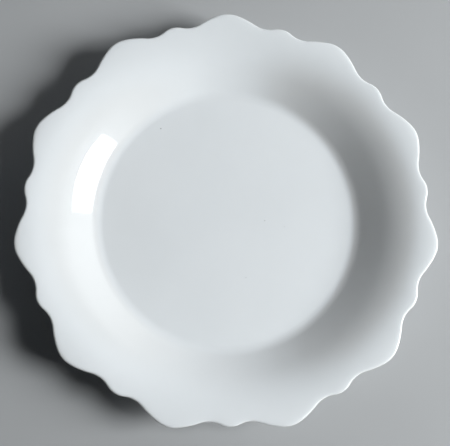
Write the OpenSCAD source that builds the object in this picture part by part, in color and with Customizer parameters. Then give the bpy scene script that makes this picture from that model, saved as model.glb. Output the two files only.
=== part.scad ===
// Scalloped dessert plate, pressed in one piece from white opal glass. It has a flat well,
// a rim that rises from the well and levels out, a lip of large and small lobes with a
// rounded edge, and a low ring underneath to stand on.
// Millimetres, +Z up. The origin is on the plate's axis, on the surface that it stands on,
// and +Y runs through the tip of a large lobe.

/* [Lip outline] */
// Number of large lobes around the lip, with one small lobe after each
lobe_count = 11; // [9:1:13]
// Diameter of the circle that the large lobes reach
lobe_tip_d = 198.6; // [194:0.2:204]
// How far the small lobes stay inside that circle
bead_inset = 3.6; // [1.5:0.1:5]
// Radius of a large lobe's nose
nose_r = 13.6; // [11:0.1:16]
// Angle that the nose turns through on each side of its tip
nose_turn = 20; // [14:0.5:26]
// Radius of a large lobe's flanks, between its nose and the hollows
flank_r = 41; // [32:0.5:54]
// Radius of a small lobe
bead_r = 10.1; // [8:0.1:12]
// Radius of the hollow between a large lobe and a small one
hollow_r = 13; // [10:0.1:16]

/* [Rim section] */
// Width of the rim from the flat floor of the well to the circle of the large lobes
rim_w = 40.05; // [37:0.05:45]
// Radius between the floor of the well and the slope of the rim
well_fillet_r = 11.5; // [6:0.5:18]
// Angle of the rim where it is steepest
rim_slope = 29.5; // [25:0.5:34]
// Height above the floor of the well at which the crown of the rim comes level
rim_rise = 13.6; // [12:0.1:18]
// Distance outside the large lobes at which the crown would come level
crown_past = 1.2; // [0.5:0.1:5]
// Thickness of the glass
wall = 3; // [2.4:0.1:4]
// Radius along the upper and the lower edge of the lip
lip_edge_r = 0.8; // [0.4:0.1:1.2]

/* [Foot ring] */
// Height of the ring under the floor
foot_h = 1.6; // [1.2:0.1:2.2]
// Width of the flat that the plate stands on
foot_land_w = 2.2; // [1.2:0.1:3]
// Width of the ring where it leaves the floor
foot_root_w = 6; // [5.2:0.1:7.5]
// Angle of the ring's two flanks where they are steepest
foot_slope = 60; // [50:1:75]
// Radius on each edge of the flat that the plate stands on
foot_edge_r = 0.8; // [0.4:0.1:1.2]
// Distance from the ring's root to where the underside starts to rise
foot_setback = 0.5; // [0.2:0.1:4]

/* [Hidden] */

// Cool white of the opal glass
opal_white = [0.93, 0.95, 0.96];
// Largest gap between a true arc and its chords
chord_gap = 0.03;
// Sides that the turned dish is drawn with
dish_sides = 180;
// Number of flats from the top of the lip to its underside, an odd one so that the middle one is upright
edge_flats = 7;
// How far the cutting faces run past the glass that they trim
overrun = 0.5;

// Angles around the axis are counted from the tip of a large lobe. Half a pitch on is a small lobe.
half_pitch = 180 / lobe_count;
tip_r = lobe_tip_d / 2;
nose_centre = [tip_r - nose_r, 0];
flank_centre = nose_centre - (flank_r - nose_r) * unit(nose_turn);
bead_centre = (tip_r - bead_inset - bead_r) * unit(half_pitch);
hollow_centre = touching_centre(flank_centre, flank_r + hollow_r, bead_centre, bead_r + hollow_r);
flank_end = heading(hollow_centre - flank_centre);
bead_start = heading(hollow_centre - bead_centre);

well_r = tip_r - rim_w;
level_r = tip_r + crown_past;
floor_z = foot_h + wall;
level_z = floor_z + rim_rise;
half_wall = wall / 2;
edge_r = min(lip_edge_r, half_wall);
foot_r = well_r - foot_setback - foot_root_w / 2;

// Radius of the crown that the slope, the rise and the fillet leave room for
crown_r = ogee_radii(level_r - well_r, rim_rise, rim_slope, well_fillet_r)[1];

// Direction at an angle, and the angle of a direction
function unit(angle) = [cos(angle), sin(angle)];
function heading(v) = atan2(v.y, v.x);
function mirrored(v, axis_angle) = norm(v) * unit(2 * axis_angle - heading(v));
function reversed(list) = [for (i = [len(list) - 1:-1:0]) list[i]];

// Centre of the arc that touches two circles from outside, at distance ra from a and rb from b
function touching_centre(a, ra, b, rb) =
    let (
        d = norm(b - a),
        along = (ra * ra - rb * rb + d * d) / (2 * d),
        across = sqrt(ra * ra - along * along),
        u = (b - a) / d
    )
    a + along * u + across * [u.y, -u.x];

// Steps that keep the chords of an arc within chord_gap of it
function arc_steps(r, turn) = ceil(abs(turn) / (2 * acos(1 - chord_gap / abs(r))));

// An arc from one outward direction to another, as pairs of a point and its outward direction.
// A negative radius makes a hollow. The last pair is left to the arc that follows.
function arc_stations(centre, r, from, to) =
    let (steps = arc_steps(r, to - from))
    [for (i = [0:steps - 1])
        let (angle = from + (to - from) * i / steps)
        [centre + r * unit(angle), angle]];

// One pitch of the lip: a flank, the nose and the other flank of a large lobe, a hollow, a small lobe
// and a hollow, each tangent to the next
function pitch_stations() =
    let (pitch = 2 * half_pitch)
    concat(
        arc_stations(mirrored(flank_centre, 0), flank_r, -flank_end, -nose_turn),
        arc_stations(nose_centre, nose_r, -nose_turn, nose_turn),
        arc_stations(flank_centre, flank_r, nose_turn, flank_end),
        arc_stations(hollow_centre, -hollow_r, flank_end, bead_start),
        arc_stations(bead_centre, bead_r, bead_start, pitch - bead_start),
        arc_stations(mirrored(hollow_centre, half_pitch), -hollow_r, pitch - bead_start, pitch - flank_end)
    );

function turned(station, angle) =
    [norm(station[0]) * unit(heading(station[0]) + angle), station[1] + angle];

// The radii of a fillet and a crown that are tangent to the straight slope between them. The
// fillet takes its own radius where there is room for it, and the crown takes what is left.
function ogee_radii(run, rise, slope, fillet_r) =
    let (
        room = (run * sin(slope) - rise * cos(slope)) / (1 - cos(slope)),
        low_r = min(fillet_r, room / 2)
    )
    [low_r, room - low_r];

// A rise from a level line through a fillet, a straight slope and a crown to a higher level line
function ogee(low, high, slope, fillet_r) =
    let (
        side = sign(high.x - low.x),
        radii = ogee_radii(abs(high.x - low.x), high.y - low.y, slope, fillet_r),
        low_r = radii[0],
        top_r = radii[1],
        low_steps = arc_steps(low_r, slope),
        top_steps = arc_steps(top_r, slope)
    )
    concat(
        [for (i = [0:low_steps])
            let (a = slope * i / low_steps)
            low + low_r * [side * sin(a), 1 - cos(a)]],
        [for (i = [top_steps:-1:0])
            let (a = slope * i / top_steps)
            high - top_r * [side * sin(a), 1 - cos(a)]]
    );

// Half section of the plate before its lip is trimmed. The glass has one thickness throughout.
function section() =
    let (
        land = foot_land_w / 2,
        root = foot_root_w / 2,
        blank_r = level_r + overrun
    )
    concat(
        [[0, floor_z]],
        ogee([well_r, floor_z], [level_r, level_z], rim_slope, well_fillet_r),
        [[blank_r, level_z], [blank_r, level_z - wall]],
        reversed(ogee([well_r, foot_h], [level_r, level_z - wall], rim_slope, well_fillet_r + wall)),
        reversed(ogee([foot_r + land, 0], [foot_r + root, foot_h], foot_slope, foot_edge_r)),
        ogee([foot_r - land, 0], [foot_r - root, foot_h], foot_slope, foot_edge_r),
        [[0, foot_h]]
    );

// Corners of the rounded edge from low to high, as distances outwards and upwards from the middle
// of the glass. The flats touch a quarter round at each edge and the upright face between them,
// and the first and last run past the glass.
function edge_corners() =
    let (
        step = 180 / edge_flats,
        corner_r = edge_r / cos(step / 2),
        steep = 90 - step / 2,
        round_z = half_wall - edge_r,
        past = half_wall + overrun,
        past_out = (edge_r - (edge_r + overrun) * sin(steep)) / cos(steep)
    )
    concat(
        [[past_out, -past]],
        [for (i = [1:edge_flats - 1])
            let (angle = i * step - 90)
            corner_r * unit(angle) + [0, sign(angle) * round_z]],
        [[past_out, past]]
    );

// Angle and height of the rim half way through the glass, on its crown and on its slope
function rim_lean(r) = asin(min((level_r - r) / (crown_r - half_wall), sin(rim_slope)));
function rim_middle_z(r) =
    let (
        lean = rim_lean(r),
        arc_r = crown_r - half_wall,
        inside_crown = level_r - arc_r * sin(lean) - r
    )
    level_z - crown_r + arc_r * cos(lean) - inside_crown * tan(lean);

// A column of the lip's form at one station. The edge leans with the rim where it is cut.
function edge_column(station) =
    let (
        out = unit(station[1]),
        middle = station[0] - edge_r * out,
        lean = rim_lean(norm(middle)),
        middle_z = rim_middle_z(norm(middle)),
        leaning = [for (c = edge_corners()) norm(c) * unit(heading(c) + lean)],
        edge = [for (c = leaning) [middle.x + c.x * out.x, middle.y + c.x * out.y, middle_z + c.y]]
    )
    concat([[edge[0].x, edge[0].y, -overrun]], edge);

// The dish turned from its section, wider than the lobes
module dish() {
    rotate_extrude($fn = dish_sides)
        polygon(section());
}

// Solid with the scalloped outline and the rounded edge of the lip
module lip_form() {
    columns = [for (i = [0:lobe_count - 1], s = pitch_stations())
        edge_column(turned(s, 90 + i * 2 * half_pitch))];
    count = len(columns);
    rows = len(columns[0]);
    points = concat(
        [for (column = columns, p = column) p],
        [[0, 0, -overrun], [0, 0, level_z + overrun]]
    );
    faces = [for (i = [0:count - 1])
        let (
            here = i * rows,
            next = ((i + 1) % count) * rows,
            low = count * rows,
            high = low + 1
        )
        each concat(
            [[low, here, next]],
            [for (k = [0:rows - 2]) [here + k, here + k + 1, next + k + 1, next + k]],
            [[high, next + rows - 1, here + rows - 1]]
        )];
    polyhedron(points, faces);
}

module plate() {
    color(opal_white)
        intersection() {
            dish();
            lip_form();
        }
}

plate();
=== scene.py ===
"""Scalloped dessert plate of white opal glass, on a pale studio floor.

The plate is one pressing: a flat well, a rising rim, a scalloped lip with a rounded edge, and a ring
underneath to stand on. Its sizes are in millimetres and its mesh is in metres, in the frame of the
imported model: +Z up, origin on the plate's axis where it stands, +Y through the tip of a large lobe.
Points seen from above and points of the half section are complex numbers, x + iy and r + iz.
"""

import cmath
import logging
import math
from collections.abc import Iterable, Iterator
from dataclasses import dataclass, field
from enum import IntEnum

import bpy
import numpy as np
from mathutils import Matrix, Quaternion, Vector

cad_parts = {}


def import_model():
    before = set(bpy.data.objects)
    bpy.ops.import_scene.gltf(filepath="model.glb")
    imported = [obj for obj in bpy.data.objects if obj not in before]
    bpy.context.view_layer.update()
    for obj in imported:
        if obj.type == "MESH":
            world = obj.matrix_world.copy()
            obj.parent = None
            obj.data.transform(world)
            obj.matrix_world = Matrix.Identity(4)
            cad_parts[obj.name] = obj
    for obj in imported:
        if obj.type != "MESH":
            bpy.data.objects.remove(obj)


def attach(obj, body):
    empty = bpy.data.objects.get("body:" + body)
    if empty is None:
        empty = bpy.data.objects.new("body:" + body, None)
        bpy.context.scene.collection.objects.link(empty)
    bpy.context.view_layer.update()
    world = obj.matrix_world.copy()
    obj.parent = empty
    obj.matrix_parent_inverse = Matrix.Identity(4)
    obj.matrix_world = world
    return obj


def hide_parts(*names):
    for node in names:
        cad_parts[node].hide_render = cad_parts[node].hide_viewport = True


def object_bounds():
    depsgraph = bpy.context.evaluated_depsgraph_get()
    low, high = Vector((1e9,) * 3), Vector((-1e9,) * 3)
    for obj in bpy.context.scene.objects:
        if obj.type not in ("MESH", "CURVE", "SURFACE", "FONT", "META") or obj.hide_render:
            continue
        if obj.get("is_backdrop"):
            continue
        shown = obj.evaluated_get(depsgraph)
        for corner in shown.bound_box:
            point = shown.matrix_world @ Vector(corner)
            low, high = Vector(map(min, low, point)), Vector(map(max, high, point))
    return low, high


LOG = logging.getLogger("dessert_plate")

MM = 0.001
BODY = "root"
NODE = "plate"

Colour = tuple[float, float, float]
Feed = float | tuple[float, ...] | bpy.types.NodeSocket


class Surface(IntEnum):
    """Finished surfaces of the plate, numbered as its material slots."""

    POLISHED = 0
    FOOT_LAND = 1


@dataclass(frozen=True)
class Arc:
    """One arc of the lip's outline, seen from above.

    Attributes:
        centre: Centre of the arc.
        radius: Radius, negative for a hollow.
        start: Outward direction at the first point, in radians.
        end: Outward direction at the last point, in radians.
        steps: Number of chords.
    """

    centre: complex
    radius: float
    start: float
    end: float
    steps: int

    def stations(self) -> tuple[np.ndarray, np.ndarray]:
        """Finds the arc's points, without its last one, which the next arc starts with.

        Returns:
            The points, and the outward direction at each as a number of length one.
        """
        outward = np.exp(1j * np.linspace(self.start, self.end, self.steps, endpoint=False))
        return self.centre + self.radius * outward, outward


@dataclass
class ScallopOutline:
    """The lip's outline: large and small lobes in turn, with a hollow between each two.

    Attributes:
        tip_r: Radius that the large lobes reach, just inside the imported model's box.
        bead_inset: How far the small lobes stay inside that circle.
        nose_turn_deg: Angle that a large lobe's nose turns through on each side of its tip.
    """

    lobe_count: int = 11
    tip_r: float = 99.28
    bead_inset: float = 3.6
    nose_r: float = 13.6
    nose_turn_deg: float = 20.0
    flank_r: float = 41.0
    bead_r: float = 10.1
    hollow_r: float = 13.0
    nose_steps: int = 12
    flank_steps: int = 6
    hollow_steps: int = 14
    bead_steps: int = 12

    def pitch(self) -> list[Arc]:
        """Lays out one pitch, counted from the tip of a large lobe on the x axis.

        Returns:
            The arcs of a large lobe's flank, nose and other flank, a hollow, a small lobe and a hollow,
            each tangent to the next.
        """
        half = math.pi / self.lobe_count
        nose_turn = math.radians(self.nose_turn_deg)
        nose = complex(self.tip_r - self.nose_r)
        flank = nose - cmath.rect(self.flank_r - self.nose_r, nose_turn)
        bead = cmath.rect(self.tip_r - self.bead_inset - self.bead_r, half)
        hollow = self.touching_centre(flank, self.flank_r + self.hollow_r, bead, self.bead_r + self.hollow_r)
        far_hollow = cmath.rect(abs(hollow), 2 * half - cmath.phase(hollow))
        flank_end = cmath.phase(hollow - flank)
        bead_start = cmath.phase(hollow - bead)
        bead_end = 2 * half - bead_start
        return [
            Arc(flank.conjugate(), self.flank_r, -flank_end, -nose_turn, self.flank_steps),
            Arc(nose, self.nose_r, -nose_turn, nose_turn, self.nose_steps),
            Arc(flank, self.flank_r, nose_turn, flank_end, self.flank_steps),
            Arc(hollow, -self.hollow_r, flank_end, bead_start, self.hollow_steps),
            Arc(bead, self.bead_r, bead_start, bead_end, self.bead_steps),
            Arc(far_hollow, -self.hollow_r, bead_end, 2 * half - flank_end, self.hollow_steps),
        ]

    def stations(self) -> tuple[np.ndarray, np.ndarray]:
        """Follows the whole lip, starting at the large lobe on +Y.

        Returns:
            The points of the outline, and the outward direction at each.
        """
        arcs = [arc.stations() for arc in self.pitch()]
        points = np.concatenate([points for points, _ in arcs])
        outward = np.concatenate([outward for _, outward in arcs])
        turns = 1j * np.exp(2j * math.pi * np.arange(self.lobe_count) / self.lobe_count)
        return np.outer(turns, points).ravel(), np.outer(turns, outward).ravel()

    @staticmethod
    def touching_centre(a: complex, reach_a: float, b: complex, reach_b: float) -> complex:
        """Finds the centre of an arc that touches two circles from outside.

        Args:
            a: Centre of the first circle.
            reach_a: Distance of the arc's centre from it.
            b: Centre of the second circle.
            reach_b: Distance of the arc's centre from it.

        Returns:
            The centre that lies further out.
        """
        apart = abs(b - a)
        along = (reach_a**2 - reach_b**2 + apart**2) / (2 * apart)
        across = math.sqrt(reach_a**2 - along**2)
        return a + (along - 1j * across) * (b - a) / apart


@dataclass(frozen=True)
class Ogee:
    """A rise in the half section: a fillet, a straight slope and a crown, each tangent to the next.

    Attributes:
        low: Where the fillet leaves the lower level line.
        high: Where the crown reaches the upper level line.
        slope: Angle of the straight slope, in radians.
        fillet_r: Radius of the fillet.
    """

    low: complex
    high: complex
    slope: float
    fillet_r: float

    @property
    def side(self) -> float:
        """One where the rise runs outwards, minus one where it runs inwards."""
        return math.copysign(1, self.high.real - self.low.real)

    @property
    def crown_r(self) -> float:
        """Radius that the run, the rise and the fillet leave for the crown."""
        run = abs(self.high.real - self.low.real)
        rise = self.high.imag - self.low.imag
        room = (run * math.sin(self.slope) - rise * math.cos(self.slope)) / (1 - math.cos(self.slope))
        return room - self.fillet_r

    def profile(self, fillet_steps: int, slope_steps: int, crown_steps: int, stop: float = 0.0) -> np.ndarray:
        """Draws the rise from its foot upwards.

        Args:
            fillet_steps: Number of chords on the fillet.
            slope_steps: Number of equal lengths on the straight slope.
            crown_steps: Number of chords on the crown.
            stop: Slope, in radians, at which the crown is left.

        Returns:
            The points of the half section.
        """
        turn = np.linspace(0, self.slope, fillet_steps + 1)
        fillet = self.low + self.fillet_r * (self.side * np.sin(turn) + 1j * (1 - np.cos(turn)))
        turn = np.linspace(self.slope, stop, crown_steps + 1)
        crown = self.high - self.crown_r * (self.side * np.sin(turn) + 1j * (1 - np.cos(turn)))
        straight = np.linspace(fillet[-1], crown[0], slope_steps + 1)[1:-1]
        return np.concatenate([fillet, straight, crown])

    def crown_lean(self, r: float) -> float:
        """Slope of the crown at a distance from the axis, in radians."""
        return math.asin(abs(self.high.real - r) / self.crown_r)

    def crown_height(self, r: np.ndarray) -> np.ndarray:
        """Heights of the crown at distances from the axis."""
        return self.high.imag - self.crown_r + np.sqrt(self.crown_r**2 - (self.high.real - r) ** 2)


@dataclass
class RimSection:
    """Half section of the well and the rim, with one thickness of glass throughout.

    Attributes:
        tip_r: Radius of the large lobes' circle, which the rim's width is measured from.
        rim_w: Width of the rim from the floor of the well to that circle.
        rise: Height over the floor at which the crown comes level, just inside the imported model's box.
        crown_past: Distance outside the large lobes at which the crown would come level.
        edge_r: Radius along the upper and the lower edge of the lip.
    """

    tip_r: float = 99.3
    rim_w: float = 40.05
    fillet_r: float = 11.5
    slope_deg: float = 29.5
    rise: float = 13.57
    crown_past: float = 1.2
    wall: float = 3.0
    edge_r: float = 0.8
    foot_h: float = 1.6

    @property
    def well_r(self) -> float:
        """Radius of the flat floor of the well."""
        return self.tip_r - self.rim_w

    @property
    def floor_z(self) -> float:
        """Height of the floor of the well."""
        return self.foot_h + self.wall

    def surface(self, depth: float) -> Ogee:
        """Finds the rise of a surface in the glass.

        Args:
            depth: Distance under the top surface, from zero to the thickness of the glass.

        Returns:
            The surface's rise from the well to where its crown would come level.
        """
        z = self.floor_z - depth
        level_r = self.tip_r + self.crown_past
        return Ogee(
            complex(self.well_r, z),
            complex(level_r, z + self.rise),
            math.radians(self.slope_deg),
            self.fillet_r + depth,
        )


@dataclass
class FootRing:
    """Low ring under the edge of the well, with a flat land and rounded flanks.

    Attributes:
        land_w: Width of the flat that the plate stands on.
        root_w: Width of the ring where it leaves the floor.
        setback: Distance from the ring's root to where the underside starts to rise.
    """

    land_w: float = 2.2
    root_w: float = 6.0
    slope_deg: float = 60.0
    edge_r: float = 0.8
    setback: float = 0.5
    flank_steps: int = 5
    slope_steps: int = 2
    land_steps: int = 3

    def mean_r(self, well_r: float) -> float:
        """Radius of the middle of the land."""
        return well_r - self.setback - self.root_w / 2

    def inner_r(self, well_r: float) -> float:
        """Radius at which the ring meets the underside of the floor on its inner side."""
        return self.mean_r(well_r) - self.root_w / 2

    def flank(self, well_r: float, height: float, side: int) -> np.ndarray:
        """Draws one flank of the ring.

        Args:
            well_r: Radius of the flat floor of the well.
            height: Height of the ring.
            side: One for the outer flank, minus one for the inner one.

        Returns:
            Points of the half section from the land up to the floor.
        """
        middle = self.mean_r(well_r)
        low = complex(middle + side * self.land_w / 2)
        high = complex(middle + side * self.root_w / 2, height)
        ogee = Ogee(low, high, math.radians(self.slope_deg), self.edge_r)
        return ogee.profile(self.flank_steps, self.slope_steps, self.flank_steps)


@dataclass
class RingSkin:
    """A closed skin over rings of points, each with as many as the last, or twice or half as many."""

    points: list[np.ndarray] = field(default_factory=list)
    faces: list[list[int]] = field(default_factory=list)
    surfaces: list[Surface] = field(default_factory=list)
    last: np.ndarray | None = None
    count: int = 0

    def add(self, ring: np.ndarray, surface: Surface = Surface.POLISHED) -> None:
        """Adds a ring and the band of faces between it and the ring before.

        Args:
            ring: Points in millimetres, one row each, anticlockwise seen from above.
            surface: Finish of the band.
        """
        here = np.arange(self.count, self.count + len(ring))
        self.points.append(ring)
        self.count += len(ring)
        if self.last is not None:
            band = self.band(self.last, here)
            self.faces += band
            self.surfaces += [surface] * len(band)
        self.last = here

    @staticmethod
    def band(a: np.ndarray, b: np.ndarray) -> list[list[int]]:
        """Joins two rings.

        Args:
            a: Numbers of the first ring's points.
            b: Numbers of the second ring's points.

        Returns:
            Faces that point outwards where the rings run from the top of the plate to its underside.
        """
        a_next, b_next = np.roll(a, -1), np.roll(b, -1)
        if len(a) == len(b):
            columns = [(a, b, b_next, a_next)]
        elif len(a) == 1:
            columns = [(np.repeat(a, len(b)), b, b_next)]
        elif len(b) == 1:
            columns = [(a, np.repeat(b, len(a)), a_next)]
        elif len(a) < len(b):
            columns = [(a, b[::2], b[1::2]), (a, b[1::2], a_next), (a_next, b[1::2], b_next[1::2])]
        else:
            columns = [(a[::2], b, a[1::2]), (a[1::2], b, b_next), (a[1::2], b_next, a_next[1::2])]
        return [face for group in columns for face in np.stack(group, axis=1).tolist()]

    def mesh(self, name: str) -> bpy.types.Mesh:
        """Makes the skin's mesh.

        Args:
            name: Name of the mesh.

        Returns:
            The mesh, shaded smooth, in metres.
        """
        mesh = bpy.data.meshes.new(name)
        mesh.from_pydata((np.concatenate(self.points) * MM).tolist(), [], self.faces)
        mesh.polygons.foreach_set("material_index", [int(surface) for surface in self.surfaces])
        mesh.shade_smooth()
        mesh.validate()
        return mesh


def opaque(colour: Colour) -> tuple[float, float, float, float]:
    """Adds the alpha that a colour socket takes."""
    return (*colour, 1.0)


class Graph:
    """Adds nodes to a shader tree and wires them."""

    def __init__(self, tree: bpy.types.NodeTree) -> None:
        """Starts on a tree."""
        self.tree = tree

    def add(self, kind: str, feeds: dict[str | int, Feed] | None = None, **settings: object) -> bpy.types.Node:
        """Adds a node.

        Args:
            kind: Type of the node, without the words Shader Node.
            feeds: Constants or sockets for its inputs, by the input's name or number.
            **settings: Properties of the node.

        Returns:
            The new node.
        """
        node = self.tree.nodes.new("ShaderNode" + kind)
        for name, value in settings.items():
            setattr(node, name, value)
        for name, value in (feeds or {}).items():
            self.feed(node.inputs[name], value)
        return node

    def feed(self, socket: bpy.types.NodeSocket, value: Feed) -> None:
        """Links a socket to an input, or sets the input to a constant."""
        if isinstance(value, bpy.types.NodeSocket):
            self.tree.links.new(value, socket)
        else:
            socket.default_value = value

    def math(self, operation: str, a: Feed, b: Feed) -> bpy.types.NodeSocket:
        """Works out a value from two others, clamped to the range from zero to one."""
        return self.add("Math", {0: a, 1: b}, operation=operation, use_clamp=True).outputs[0]

    def ramp(self, value: Feed, low: float, high: float, start: Feed = 0.0, end: Feed = 1.0) -> bpy.types.NodeSocket:
        """Maps a value smoothly from one range to another.

        Args:
            value: What is mapped.
            low: Value that gives start.
            high: Value that gives end.
            start: Result at low and below.
            end: Result at high and above.

        Returns:
            The mapped value.
        """
        feeds = {"Value": value, "From Min": low, "From Max": high, "To Min": start, "To Max": end}
        return self.add("MapRange", feeds, interpolation_type="SMOOTHSTEP").outputs["Result"]

    def blend(self, share: Feed, a: Feed, b: Feed) -> bpy.types.NodeSocket:
        """Mixes two colours by a share of the second."""
        return self.add("Mix", {0: share, 6: a, 7: b}, data_type="RGBA").outputs[2]

    def noise(self, place: Feed, scale: Feed, detail: float = 2.0) -> bpy.types.NodeSocket:
        """Soft noise around one half, at a number of features per metre."""
        return self.add("TexNoise", {"Vector": place, "Scale": scale, "Detail": detail}).outputs["Fac"]


class Effect:
    """A shader node group that is built once and placed in several materials."""

    name = ""
    inputs: dict[str, str] = {}
    output: tuple[str, str] = ("", "")

    def tree(self) -> bpy.types.NodeTree:
        """Finds the group, or builds it the first time.

        Returns:
            The group's node tree.
        """
        tree = bpy.data.node_groups.get(self.name)
        if tree is None:
            tree = bpy.data.node_groups.new(self.name, "ShaderNodeTree")
            for socket, kind in self.inputs.items():
                tree.interface.new_socket(name=socket, in_out="INPUT", socket_type="NodeSocket" + kind)
            socket, kind = self.output
            tree.interface.new_socket(name=socket, in_out="OUTPUT", socket_type="NodeSocket" + kind)
            graph = Graph(tree)
            given = tree.nodes.new("NodeGroupInput").outputs
            result = tree.nodes.new("NodeGroupOutput").inputs[0]
            graph.feed(result, self.wire(graph, given))
        return tree

    def wire(self, graph: Graph, given: bpy.types.NodeOutputs) -> bpy.types.NodeSocket:
        """Wires the inside of the group.

        Args:
            graph: The group's tree.
            given: The group's inputs.

        Returns:
            The socket that goes to the group's output.
        """
        raise NotImplementedError

    def place(self, graph: Graph, feeds: dict[str, Feed]) -> bpy.types.NodeSocket:
        """Places the group in a material.

        Args:
            graph: The material's tree.
            feeds: Values of the group's inputs.

        Returns:
            The group's output.
        """
        node = graph.add("Group", node_tree=self.tree())
        for name, value in feeds.items():
            graph.feed(node.inputs[name], value)
        return node.outputs[0]


class SoftMottle(Effect):
    """Cloudy change between two close colours."""

    name = "Soft Mottle"
    inputs = {"Place": "Vector", "Clouds per metre": "Float", "Shade": "Color", "Light": "Color"}
    output = ("Colour", "Color")
    detail = 3.0
    noise_range = (0.3, 0.7)

    def wire(self, graph: Graph, given: bpy.types.NodeOutputs) -> bpy.types.NodeSocket:
        """Spreads the clouds of a soft noise over the whole way between the colours."""
        clouds = graph.noise(given["Place"], given["Clouds per metre"], self.detail)
        return graph.blend(graph.ramp(clouds, *self.noise_range), given["Shade"], given["Light"])

    def between(
        self, graph: Graph, place: Feed, clouds_per_metre: float, shade: Colour, light: Colour
    ) -> bpy.types.NodeSocket:
        """Places the mottle between two colours.

        Args:
            graph: The material's tree.
            place: Place on the object.
            clouds_per_metre: Number of clouds per metre.
            shade: Darker colour.
            light: Lighter colour.

        Returns:
            The mottled colour.
        """
        clouds = {"Place": place, "Clouds per metre": clouds_per_metre}
        return self.place(graph, clouds | {"Shade": opaque(shade), "Light": opaque(light)})


class PressRipple(Effect):
    """Long, shallow waves that the press leaves in the skin of the glass."""

    name = "Press Ripple"
    inputs = {"Place": "Vector", "Waves per metre": "Float"}
    output = ("Height", "Float")
    detail = 0.0

    def wire(self, graph: Graph, given: bpy.types.NodeOutputs) -> bpy.types.NodeSocket:
        """Takes a noise with no fine detail, so that the skin stays glossy."""
        return graph.noise(given["Place"], given["Waves per metre"], self.detail)

    def normal(self, graph: Graph, place: Feed, waves_per_metre: float, depth: float) -> bpy.types.NodeSocket:
        """Ripples a surface.

        Args:
            graph: The material's tree.
            place: Place on the object.
            waves_per_metre: Number of waves per metre.
            depth: Depth of the waves, in metres.

        Returns:
            The rippled normal.
        """
        height = self.place(graph, {"Place": place, "Waves per metre": waves_per_metre})
        return graph.add("Bump", {"Height": height, "Distance": depth}).outputs["Normal"]


class UseMarks(Effect):
    """Fine straight scratches in several directions, broken up into short lengths."""

    name = "Use Marks"
    inputs = {"Place": "Vector", "Marks per metre": "Float", "Amount": "Float"}
    output = ("Mask", "Float")
    directions = 4
    first_direction = 0.3
    stretch = 0.03
    crest_range = (0.66, 0.74)

    def wire(self, graph: Graph, given: bpy.types.NodeOutputs) -> bpy.types.NodeSocket:
        """Stretches a noise along each direction and keeps its crests."""
        marks: Feed = 0.0
        for i in range(self.directions):
            angle = math.pi * (i + self.first_direction) / self.directions
            turned = graph.add("VectorRotate", {"Vector": given["Place"], "Angle": angle}, rotation_type="Z_AXIS")
            drawn = graph.add("VectorMath", {0: turned.outputs[0], 1: (self.stretch, 1.0, 1.0)}, operation="MULTIPLY")
            noise = graph.noise(drawn.outputs[0], given["Marks per metre"])
            marks = graph.math("MAXIMUM", marks, graph.ramp(noise, *self.crest_range))
        return graph.math("MULTIPLY", marks, given["Amount"])


def new_material(name: str) -> tuple[bpy.types.Material, Graph, bpy.types.Node, bpy.types.NodeSocket]:
    """Starts a material.

    Args:
        name: Name of the material.

    Returns:
        The material, its tree, its shader, and the place on the object that patterns are drawn from.
    """
    material = bpy.data.materials.new(name)
    material.use_nodes = True
    graph = Graph(material.node_tree)
    place = graph.add("TexCoord").outputs["Object"]
    return material, graph, material.node_tree.nodes["Principled BSDF"], place


@dataclass(frozen=True)
class Grain:
    """A dark grain that the glass took up in the furnace, by its place seen from above."""

    x: float
    y: float
    radius: float


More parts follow.
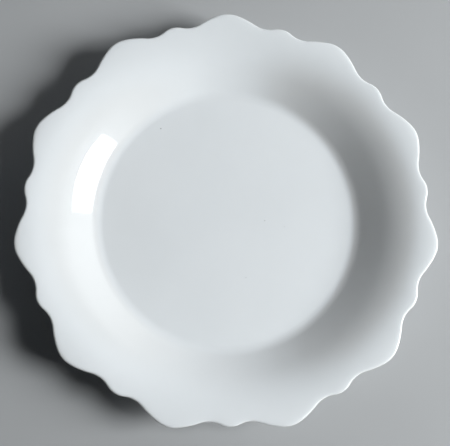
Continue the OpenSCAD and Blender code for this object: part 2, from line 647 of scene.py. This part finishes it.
@dataclass(frozen=True)
class PolishedOpal:
    """Fire-polished white opal glass, with faint marks of use and a few grains in the well.

    Attributes:
        grain_edge: Softness of a grain's edge, as a share of its radius.
        marks_from: Share of the well's radius out to which the marks of use are at their full strength.
        marks_to: Share of the well's radius at which they end.
        gloss: Roughness of the untouched skin.
        worn: Roughness on a mark of use.
        scatter_depth: Distance that light travels in the glass, in metres.
    """

    name: str = "polished_opal_glass"
    shade: Colour = (0.855, 0.864, 0.866)
    light: Colour = (0.876, 0.884, 0.886)
    soot: Colour = (0.42, 0.41, 0.40)
    grains: tuple[Grain, ...] = (
        Grain(x=-32.4, y=45.2, radius=0.30),
        Grain(x=18.1, y=-0.2, radius=0.22),
        Grain(x=27.6, y=-3.1, radius=0.14),
        Grain(x=8.7, y=-27.8, radius=0.18),
    )
    grain_edge: float = 0.3
    clouds_per_metre: float = 22.0
    waves_per_metre: float = 70.0
    wave_depth: float = 0.02 * MM
    marks_per_metre: float = 2600.0
    marks_amount: float = 0.6
    marks_from: float = 0.75
    marks_to: float = 1.02
    gloss: float = 0.05
    worn: float = 0.11
    scatter_weight: float = 1.0
    scatter_depth: float = 2.2 * MM

    def material(self, well_r: float, floor_z: float) -> bpy.types.Material:
        """Makes the material.

        Args:
            well_r: Radius of the floor of the well, in metres, where the marks of use lie.
            floor_z: Height of that floor, in metres.

        Returns:
            The material.
        """
        material, graph, shader, place = new_material(self.name)
        body = SoftMottle().between(graph, place, self.clouds_per_metre, self.shade, self.light)
        colour = graph.blend(self.grain_mask(graph, place, floor_z), body, opaque(self.soot))
        marks = {"Place": place, "Marks per metre": self.marks_per_metre, "Amount": self.marks_amount}
        from_axis = graph.add("VectorMath", {0: place, 1: (1.0, 1.0, 0.0)}, operation="MULTIPLY")
        distance = graph.add("VectorMath", {0: from_axis.outputs[0]}, operation="LENGTH").outputs["Value"]
        in_well = graph.ramp(distance, self.marks_from * well_r, self.marks_to * well_r, 1.0, 0.0)
        rubbed = graph.math("MULTIPLY", UseMarks().place(graph, marks), in_well)
        normal = PressRipple().normal(graph, place, self.waves_per_metre, self.wave_depth)
        graph.feed(shader.inputs["Base Color"], colour)
        graph.feed(shader.inputs["Subsurface Weight"], self.scatter_weight)
        graph.feed(shader.inputs["Subsurface Scale"], self.scatter_depth)
        graph.feed(shader.inputs["Subsurface Radius"], (1.0, 1.0, 1.0))
        graph.feed(shader.inputs["Roughness"], graph.ramp(rubbed, 0.0, 1.0, self.gloss, self.worn))
        graph.feed(shader.inputs["Normal"], normal)
        return material

    def grain_mask(self, graph: Graph, place: bpy.types.NodeSocket, floor_z: float) -> Feed:
        """Marks the grains.

        Args:
            graph: The material's tree.
            place: Place on the plate.
            floor_z: Height of the floor of the well, in metres.

        Returns:
            A mask that is one on a grain and zero elsewhere.
        """
        mask: Feed = 0.0
        for grain in self.grains:
            centre = (grain.x * MM, grain.y * MM, floor_z)
            radius = grain.radius * MM
            away = graph.add("VectorMath", {0: place, 1: centre}, operation="DISTANCE").outputs["Value"]
            near = graph.ramp(away, (1 - self.grain_edge) * radius, (1 + self.grain_edge) * radius, 1.0, 0.0)
            mask = graph.math("MAXIMUM", mask, near)
        return mask


@dataclass(frozen=True)
class RubbedFoot:
    """The land of the foot ring, rubbed dull where the plate has been set down.

    Attributes:
        matte: Roughness of the rubbed land.
        scored: Roughness on a score in it.
    """

    name: str = "rubbed_foot_land"
    shade: Colour = (0.76, 0.765, 0.76)
    light: Colour = (0.85, 0.858, 0.858)
    clouds_per_metre: float = 160.0
    marks_per_metre: float = 1800.0
    marks_amount: float = 1.0
    waves_per_metre: float = 900.0
    wave_depth: float = 0.02 * MM
    matte: float = 0.3
    scored: float = 0.55

    def material(self) -> bpy.types.Material:
        """Makes the material.

        Returns:
            The material.
        """
        material, graph, shader, place = new_material(self.name)
        colour = SoftMottle().between(graph, place, self.clouds_per_metre, self.shade, self.light)
        marks = {"Place": place, "Marks per metre": self.marks_per_metre, "Amount": self.marks_amount}
        scores = UseMarks().place(graph, marks)
        normal = PressRipple().normal(graph, place, self.waves_per_metre, self.wave_depth)
        graph.feed(shader.inputs["Base Color"], colour)
        graph.feed(shader.inputs["Roughness"], graph.ramp(scores, 0.0, 1.0, self.matte, self.scored))
        graph.feed(shader.inputs["Normal"], normal)
        return material


@dataclass(frozen=True)
class MattePaper:
    """Pale grey matte paper of the studio floor, which fades into the surroundings far from the plate.

    Attributes:
        fade_start: Distance from the plate at which the floor starts to fade, in metres.
        fade_end: Distance at which it has faded, in metres.
    """

    name: str = "pale_floor_paper"
    shade: Colour = (0.475, 0.48, 0.485)
    light: Colour = (0.495, 0.50, 0.505)
    clouds_per_metre: float = 9.0
    roughness: float = 0.85
    fade_start: float = 0.3
    fade_end: float = 0.9

    def material(self) -> bpy.types.Material:
        """Makes the material.

        Returns:
            The material.
        """
        material, graph, shader, place = new_material(self.name)
        colour = SoftMottle().between(graph, place, self.clouds_per_metre, self.shade, self.light)
        distance = graph.add("VectorMath", {0: place}, operation="LENGTH").outputs["Value"]
        graph.feed(shader.inputs["Base Color"], colour)
        graph.feed(shader.inputs["Roughness"], self.roughness)
        graph.feed(shader.inputs["Alpha"], graph.ramp(distance, self.fade_start, self.fade_end, 1.0, 0.0))
        return material


@dataclass
class ScallopedPlate:
    """The plate: its outline, its section and its foot ring, skinned as one closed body of glass.

    Attributes:
        follow_r: Radius from which the rings change from circles to the scallop.
        disc_octaves: How often the columns of a flat disc halve towards the axis.
        rings_per_octave: Rings between two of these halvings.
    """

    outline: ScallopOutline = field(default_factory=ScallopOutline)
    section: RimSection = field(default_factory=RimSection)
    foot: FootRing = field(default_factory=FootRing)
    glass: PolishedOpal = field(default_factory=PolishedOpal)
    land: RubbedFoot = field(default_factory=RubbedFoot)
    name: str = "plate_glass"
    follow_r: float = 88.0
    fillet_steps: int = 12
    slope_steps: int = 7
    crown_steps: int = 12
    lip_steps: int = 8
    edge_steps: int = 8
    disc_octaves: int = 4
    rings_per_octave: int = 3

    def build(self) -> bpy.types.Object:
        """Skins the plate from the middle of the well, over the lip, to the middle of the underside.

        Returns:
            The plate's object.
        """
        skin = RingSkin()
        for ring, surface in self.rings():
            skin.add(ring, surface)
        plate = bpy.data.objects.new(self.name, skin.mesh(self.name))
        bpy.context.scene.collection.objects.link(plate)
        return plate

    def dress(self, plate: bpy.types.Object) -> None:
        """Gives the plate its finishes, in the order of Surface."""
        plate.data.materials.append(self.glass.material(self.section.well_r * MM, self.section.floor_z * MM))
        plate.data.materials.append(self.land.material())

    def seat(self, plate: bpy.types.Object) -> None:
        """Puts the plate on its body, in place of the solid that it stands for."""
        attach(plate, BODY)
        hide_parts(NODE)

    def rings(self) -> Iterator[tuple[np.ndarray, Surface]]:
        """Lays the rings of the skin in order.

        Yields:
            Each ring's points, and the finish of the band before it.
        """
        section, foot = self.section, self.foot
        points, outward = self.outline.stations()
        columns = self.columns(points, outward)
        rim_columns = columns[::2]
        top, under = section.surface(0.0), section.surface(section.wall)
        steps = (self.fillet_steps, self.slope_steps, self.crown_steps)
        rises = [surface.profile(*steps, stop=surface.crown_lean(self.follow_r)) for surface in (top, under)]
        lip = list(self.lip(points, outward))

        yield from self.plain(self.disc(section.well_r, section.floor_z, rim_columns))
        yield from self.plain(self.circle(rim_columns, p) for p in rises[0][1:-1])
        yield from self.plain(self.to_lip(columns, top, lip[0]))
        yield from self.plain(lip)
        yield from self.plain(reversed(list(self.to_lip(columns, under, lip[-1]))))
        yield from self.plain(self.circle(rim_columns, p) for p in rises[1][-2::-1])
        outer, inner = (foot.flank(section.well_r, section.foot_h, side) for side in (1, -1))
        yield from self.plain(self.circle(rim_columns, p) for p in outer[::-1])
        for p in np.linspace(outer[0], inner[0], foot.land_steps + 1)[1:]:
            yield self.circle(rim_columns, p), Surface.FOOT_LAND
        yield from self.plain(self.circle(rim_columns, p) for p in inner[1:-1])
        floor = list(self.disc(foot.inner_r(section.well_r), section.foot_h, rim_columns))
        yield from self.plain(reversed(floor))

    @staticmethod
    def plain(rings: Iterable[np.ndarray]) -> Iterator[tuple[np.ndarray, Surface]]:
        """Passes rings on with the polished finish."""
        return ((ring, Surface.POLISHED) for ring in rings)

    def columns(self, points: np.ndarray, outward: np.ndarray) -> np.ndarray:
        """Directions from the axis to the middle of the lip's edge, as numbers of length one."""
        middle = points - self.section.edge_r * outward
        return middle / np.abs(middle)

    @staticmethod
    def circle(columns: np.ndarray, p: complex) -> np.ndarray:
        """Turns one point of the half section around the axis."""
        return np.stack([columns.real * p.real, columns.imag * p.real, np.full(len(columns), p.imag)], axis=1)

    def disc(self, edge_r: float, z: float, columns: np.ndarray) -> Iterator[np.ndarray]:
        """Covers a flat disc with fewer columns the nearer it comes to the axis.

        Args:
            edge_r: Radius of the disc.
            z: Height of the disc.
            columns: Directions of the points on its edge.

        Yields:
            The middle, and rings from there to the edge.
        """
        yield np.array([[0.0, 0.0, z]])
        for octave in range(self.disc_octaves, 0, -1):
            inside = edge_r / 2**octave
            for r in np.linspace(inside, 2 * inside, self.rings_per_octave, endpoint=False):
                yield self.circle(columns[:: 2**octave], complex(r, z))
        yield self.circle(columns, complex(edge_r, z))

    def to_lip(self, columns: np.ndarray, surface: Ogee, edge: np.ndarray) -> Iterator[np.ndarray]:
        """Follows a surface from the last plain circle to the start of the rounded edge.

        Args:
            columns: Directions of the points.
            surface: The surface's rise.
            edge: Ring on which the rounded edge starts.

        Yields:
            Rings that change from a circle to the scallop.
        """
        edge_r = np.hypot(edge[:, 0], edge[:, 1])
        for share in np.linspace(0, 1, self.lip_steps, endpoint=False):
            r = self.follow_r + share * (edge_r - self.follow_r)
            yield np.stack([columns.real * r, columns.imag * r, surface.crown_height(r)], axis=1)

    def lip(self, points: np.ndarray, outward: np.ndarray) -> Iterator[np.ndarray]:
        """Rounds the edge of the lip, square to the rim where it is cut.

        Args:
            points: Points of the outline, seen from above.
            outward: Outward direction at each point.

        Yields:
            Rings of two quarter rounds, from the top of the glass to its underside.
        """
        half, edge_r = self.section.wall / 2, self.section.edge_r
        surface = self.section.surface(half)
        middle = points - edge_r * outward
        r = np.abs(middle)
        axis_out = middle / r
        lean = np.arcsin((surface.high.real - r) / surface.crown_r)
        seat = np.stack([middle.real, middle.imag, surface.crown_height(r)], axis=1)
        up = np.stack([-np.sin(lean) * axis_out.real, -np.sin(lean) * axis_out.imag, np.cos(lean)], axis=1)
        level = np.stack([outward.real, outward.imag, np.zeros(len(r))], axis=1)
        out = level - (level * up).sum(axis=1, keepdims=True) * up
        out /= np.linalg.norm(out, axis=1, keepdims=True)
        for side, start, end in ((1, math.pi / 2, 0.0), (-1, 0.0, -math.pi / 2)):
            centre = seat + side * (half - edge_r) * up
            for turn in np.linspace(start, end, self.edge_steps + 1):
                yield centre + edge_r * (math.cos(turn) * out + math.sin(turn) * up)


@dataclass(frozen=True)
class SoftBox:
    """A square-cornered soft light that faces the plate.

    Attributes:
        azimuth_deg: Direction from the plate to the light, seen from above, counted from +X.
        elevation_deg: Angle of that direction over the floor.
        distance: Distance from the plate, in metres.
        width: Width of the light, in metres.
        height: Height of the light, in metres.
        power: Power in watts.
        colour: Tint of the light.
        roll_deg: Turn of the light about the line to the plate.
    """

    name: str
    azimuth_deg: float
    elevation_deg: float
    distance: float
    width: float
    height: float
    power: float
    colour: Colour = (1.0, 1.0, 1.0)
    roll_deg: float = 0.0

    def build(self) -> bpy.types.Object:
        """Hangs the light.

        Returns:
            The light's object.
        """
        lamp = bpy.data.lights.new(self.name, "AREA")
        lamp.shape = "RECTANGLE"
        lamp.size, lamp.size_y = self.width, self.height
        lamp.energy = self.power
        lamp.color = self.colour
        light = bpy.data.objects.new(self.name, lamp)
        azimuth, elevation = math.radians(self.azimuth_deg), math.radians(self.elevation_deg)
        level = Vector((math.cos(azimuth), math.sin(azimuth), 0.0)) * math.cos(elevation)
        light.location = (level + Vector((0.0, 0.0, math.sin(elevation)))) * self.distance
        roll = Quaternion((0.0, 0.0, 1.0), math.radians(self.roll_deg))
        light.rotation_euler = ((-light.location).to_track_quat("-Z", "Y") @ roll).to_euler()
        light.visible_camera = False
        bpy.context.scene.collection.objects.link(light)
        return light


@dataclass
class Studio:
    """Floor, lights and surroundings that aren't part of the plate.

    Attributes:
        floor_r: Radius of the floor, in metres.
        floor_drop: Gap between the floor and the foot ring, in metres.
        dim: Strength of the surroundings as a light.
        surround: Colour of the surroundings, as they are seen.
        ceiling: Colour of a strip of ceiling along Y, which only the glass mirrors.
        ceiling_lean_deg: Lean of the strip towards +X.
        ceiling_inner: Sine of the angle from the strip's middle out to which it is at its full strength.
        ceiling_outer: Sine of the angle at which it ends.
        wall_foot: Height, as a sine, at which the strip starts on the front and back walls.
        wall_top: Height, as a sine, at which it is at its full strength.
    """

    paper: MattePaper = field(default_factory=MattePaper)
    floor_r: float = 1.0
    floor_sides: int = 96
    floor_drop: float = 0.1 * MM
    dim: float = 0.002
    surround: Colour = (0.35, 0.355, 0.36)
    ceiling: Colour = (2.1, 2.5, 2.85)
    ceiling_lean_deg: float = 8.0
    ceiling_inner: float = 0.12
    ceiling_outer: float = 0.44
    wall_foot: float = 0.1
    wall_top: float = 0.95
    lights: tuple[SoftBox, ...] = (
        SoftBox(
            name="key_softbox",
            azimuth_deg=-8.1,
            elevation_deg=30.9,
            distance=1.4,
            width=0.588,
            height=0.716,
            power=27.2,
            colour=(0.96, 0.995, 1.01),
            roll_deg=-10.2,
        ),
        SoftBox(
            name="side_panel",
            azimuth_deg=37.0,
            elevation_deg=33.0,
            distance=1.4,
            width=0.85,
            height=0.60,
            power=0.7,
            colour=(1.05, 1.0, 0.94),
        ),
        SoftBox(
            name="broad_fill",
            azimuth_deg=80.0,
            elevation_deg=14.0,
            distance=1.8,
            width=2.0,
            height=0.85,
            power=5.0,
            colour=(0.93, 1.0, 1.07),
        ),
    )

    def build(self) -> list[bpy.types.Object]:
        """Sets the studio up.

        Returns:
            The floor and the lights.
        """
        self.surroundings()
        return [self.floor(), *(light.build() for light in self.lights)]

    def floor(self) -> bpy.types.Object:
        """Lays the floor just under the foot ring.

        Returns:
            The floor's object.
        """
        turn = np.exp(2j * math.pi * np.arange(self.floor_sides) / self.floor_sides) * self.floor_r
        rim = [(p.real, p.imag, -self.floor_drop) for p in turn.tolist()]
        mesh = bpy.data.meshes.new("floor")
        mesh.from_pydata(rim, [], [list(range(self.floor_sides))])
        mesh.materials.append(self.paper.material())
        floor = bpy.data.objects.new("floor", mesh)
        bpy.context.scene.collection.objects.link(floor)
        floor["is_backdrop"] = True
        return floor

    def surroundings(self) -> None:
        """Makes surroundings that look pale, that the glass mirrors with a ceiling, and that add little light."""
        world = bpy.data.worlds.new("surroundings")
        world.use_nodes = True
        bpy.context.scene.world = world
        graph = Graph(world.node_tree)
        nodes = world.node_tree.nodes
        dim = nodes["Background"]
        graph.feed(dim.inputs["Strength"], self.dim)
        graph.feed(dim.inputs["Color"], (1.0, 1.0, 1.0, 1.0))
        ray = graph.add("LightPath").outputs
        mirrored = graph.blend(self.ceiling_mask(graph), opaque(self.surround), opaque(self.ceiling))
        colour = graph.blend(ray["Is Camera Ray"], mirrored, opaque(self.surround))
        pale = graph.add("Background", {"Color": colour, "Strength": 1.0})
        seen = graph.math("ADD", ray["Is Camera Ray"], ray["Is Glossy Ray"])
        seen = graph.math("ADD", seen, ray["Is Transmission Ray"])
        feeds = {0: seen, 1: dim.outputs["Background"], 2: pale.outputs["Background"]}
        mixed = graph.add("MixShader", feeds).outputs["Shader"]
        graph.feed(nodes["World Output"].inputs["Surface"], mixed)

    def ceiling_mask(self, graph: Graph) -> bpy.types.NodeSocket:
        """Marks the strip of ceiling.

        Args:
            graph: The world's tree.

        Returns:
            A mask over the directions, which is one on the strip and zero away from it.
        """
        lean = math.radians(self.ceiling_lean_deg)
        way = graph.add("TexCoord").outputs["Generated"]
        turned = graph.add("VectorRotate", {"Vector": way, "Angle": -lean}, rotation_type="Y_AXIS").outputs[0]
        parts = graph.add("SeparateXYZ", {0: turned}).outputs
        across = graph.add("Math", {0: parts["X"]}, operation="ABSOLUTE").outputs[0]
        beside = graph.ramp(across, self.ceiling_inner, self.ceiling_outer, 1.0, 0.0)
        above = graph.ramp(parts["Z"], self.wall_foot, self.wall_top)
        return graph.math("MULTIPLY", beside, above)


@dataclass
class OverheadCamera:
    """Camera that looks down into the well, a little from the front.

    Attributes:
        lens: Focal length.
        sensor: Width of the sensor.
        aim_z: Height of the point on the axis that it turns about.
        distance: Distance from that point.
        tilt_deg: Angle between its view and the plate's axis.
        heading_deg: Direction from the plate to the camera, seen from above, counted from +X.
        slide: How far it is moved sideways and along its own upright, for the framing.
        clip_start: Nearest distance that it sees, in metres.
    """

    lens: float = 60.34
    sensor: float = 36.0
    aim_z: float = 5.2
    distance: float = 363.3
    tilt_deg: float = 9.4
    heading_deg: float = 250.8
    slide: tuple[float, float] = (-1.165, -1.50)
    clip_start: float = 0.01

    def build(self) -> bpy.types.Object:
        """Makes the scene's camera.

        Returns:
            The camera's object.
        """
        tilt, heading = math.radians(self.tilt_deg), math.radians(self.heading_deg)
        level = Vector((math.cos(heading), math.sin(heading), 0.0)) * math.sin(tilt)
        back = level + Vector((0.0, 0.0, math.cos(tilt)))
        turn: Quaternion = Vector((0.0, 0.0, 1.0)).rotation_difference(back)
        place = Vector((0.0, 0.0, self.aim_z)) + turn @ Vector((*self.slide, self.distance))
        lens = bpy.data.cameras.new("camera")
        lens.lens, lens.sensor_width, lens.clip_start = self.lens, self.sensor, self.clip_start
        camera = bpy.data.objects.new("camera", lens)
        camera.matrix_world = Matrix.LocRotScale(place * MM, turn, None)
        bpy.context.scene.collection.objects.link(camera)
        bpy.context.scene.camera = camera
        return camera


def write_sizes(cad_box: tuple[Vector, Vector], visual_box: tuple[Vector, Vector]) -> None:
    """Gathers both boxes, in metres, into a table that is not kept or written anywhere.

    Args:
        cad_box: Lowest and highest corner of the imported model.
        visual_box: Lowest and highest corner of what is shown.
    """
    boxes = {"cad": cad_box, "visual": visual_box}
    {name: [list(corner) for corner in box] for name, box in boxes.items()}


def main() -> None:
    """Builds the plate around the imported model, and then the studio and the camera."""
    logging.basicConfig(level=logging.INFO, format="%(name)s: %(message)s")
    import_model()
    cad_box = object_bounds()
    bpy.context.scene.view_settings.view_transform = "Standard"

    maker = ScallopedPlate()
    plate = maker.build()
    maker.dress(plate)
    maker.seat(plate)
    LOG.info("%s: %d faces, stands for %s on %s", plate.name, len(plate.data.polygons), NODE, BODY)

    for piece in Studio().build():
        LOG.info("%s: studio", piece.name)
    LOG.info("%s: looks at the well", OverheadCamera().build().name)
    write_sizes(cad_box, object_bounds())


if __name__ == "__main__":
    main()
